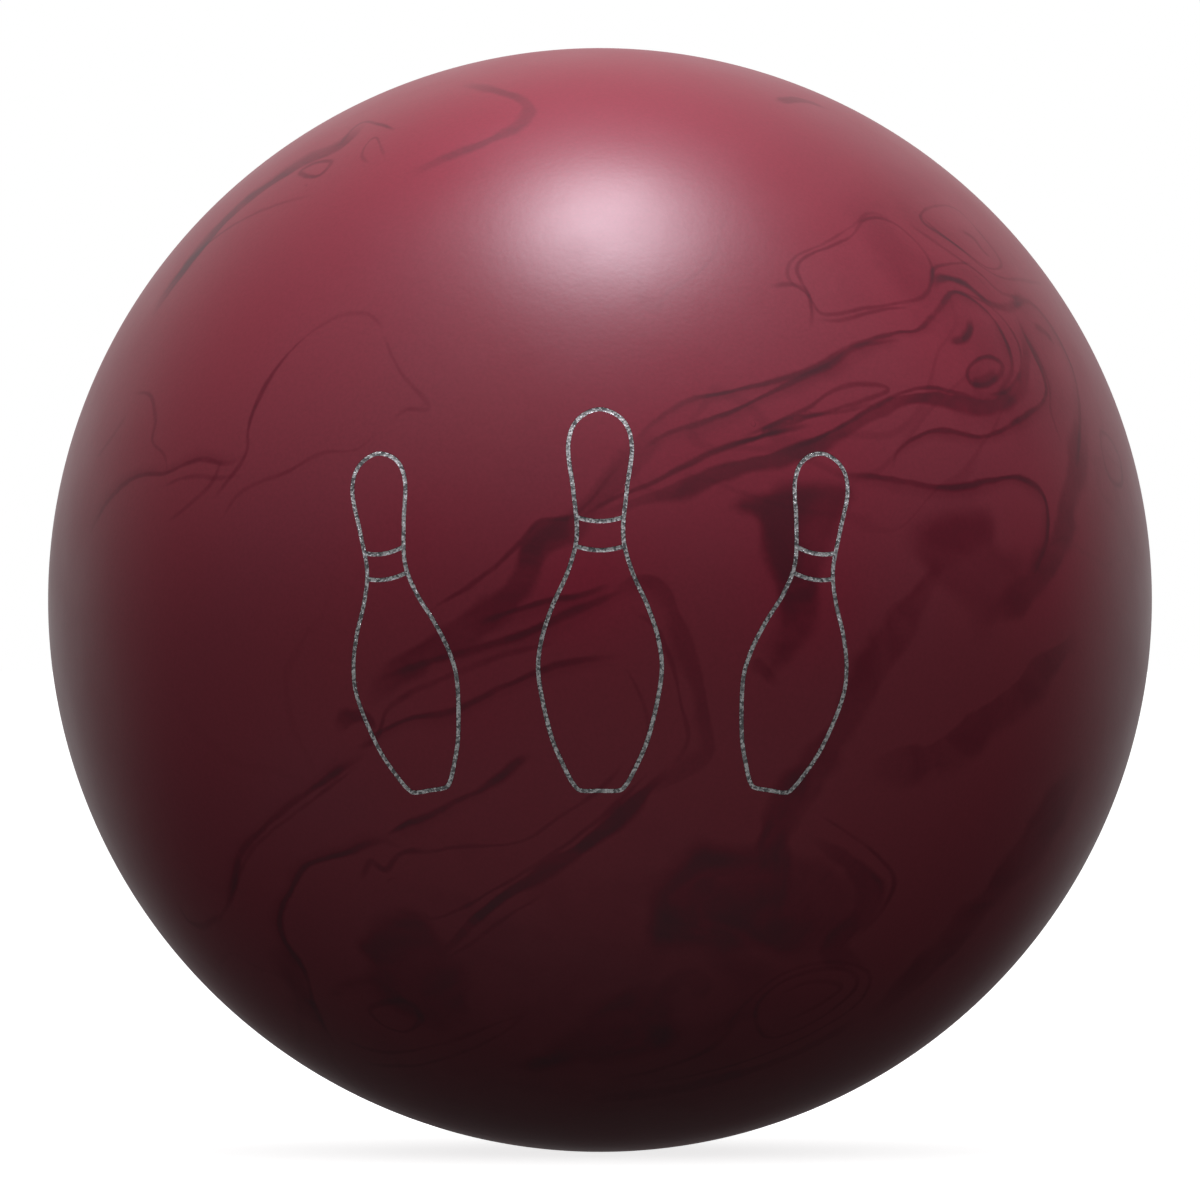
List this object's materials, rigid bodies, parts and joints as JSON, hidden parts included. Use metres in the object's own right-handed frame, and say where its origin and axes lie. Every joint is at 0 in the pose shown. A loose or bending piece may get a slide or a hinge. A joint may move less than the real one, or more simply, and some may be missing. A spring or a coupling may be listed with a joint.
{
  "type": "bowling ball",
  "caption": "Undrilled bowling ball: maroon marbled resin coverstock with an engraved, glitter-filled emblem, over an outer core and a turned weight block.",
  "frame": {"origin": "centre of the ball", "axes": "+Z along the weight block's axis, towards the locating pin; the engraved emblem faces -Y, upright"},
  "size_m": [0.2172, 0.2172, 0.2171],
  "materials": {
    "coverstock_resin": "satin",
    "core_filler": "matte",
    "weight_block_resin": "satin",
    "dense_puck_resin": "matte",
    "pin_resin": "satin",
    "dot_fill": "satin",
    "emblem_glitter": "satin"
  },
  "bodies": {
    "root": {"coverstock": "coverstock_resin", "outer_core": "core_filler", "weight_block": "weight_block_resin", "weight_block_puck": "dense_puck_resin", "locating_pin": "pin_resin", "gravity_centre_dot": "dot_fill", "emblem_fill_left": "emblem_glitter", "emblem_fill_centre": "emblem_glitter", "emblem_fill_right": "emblem_glitter"}
  },
  "joints": []
}
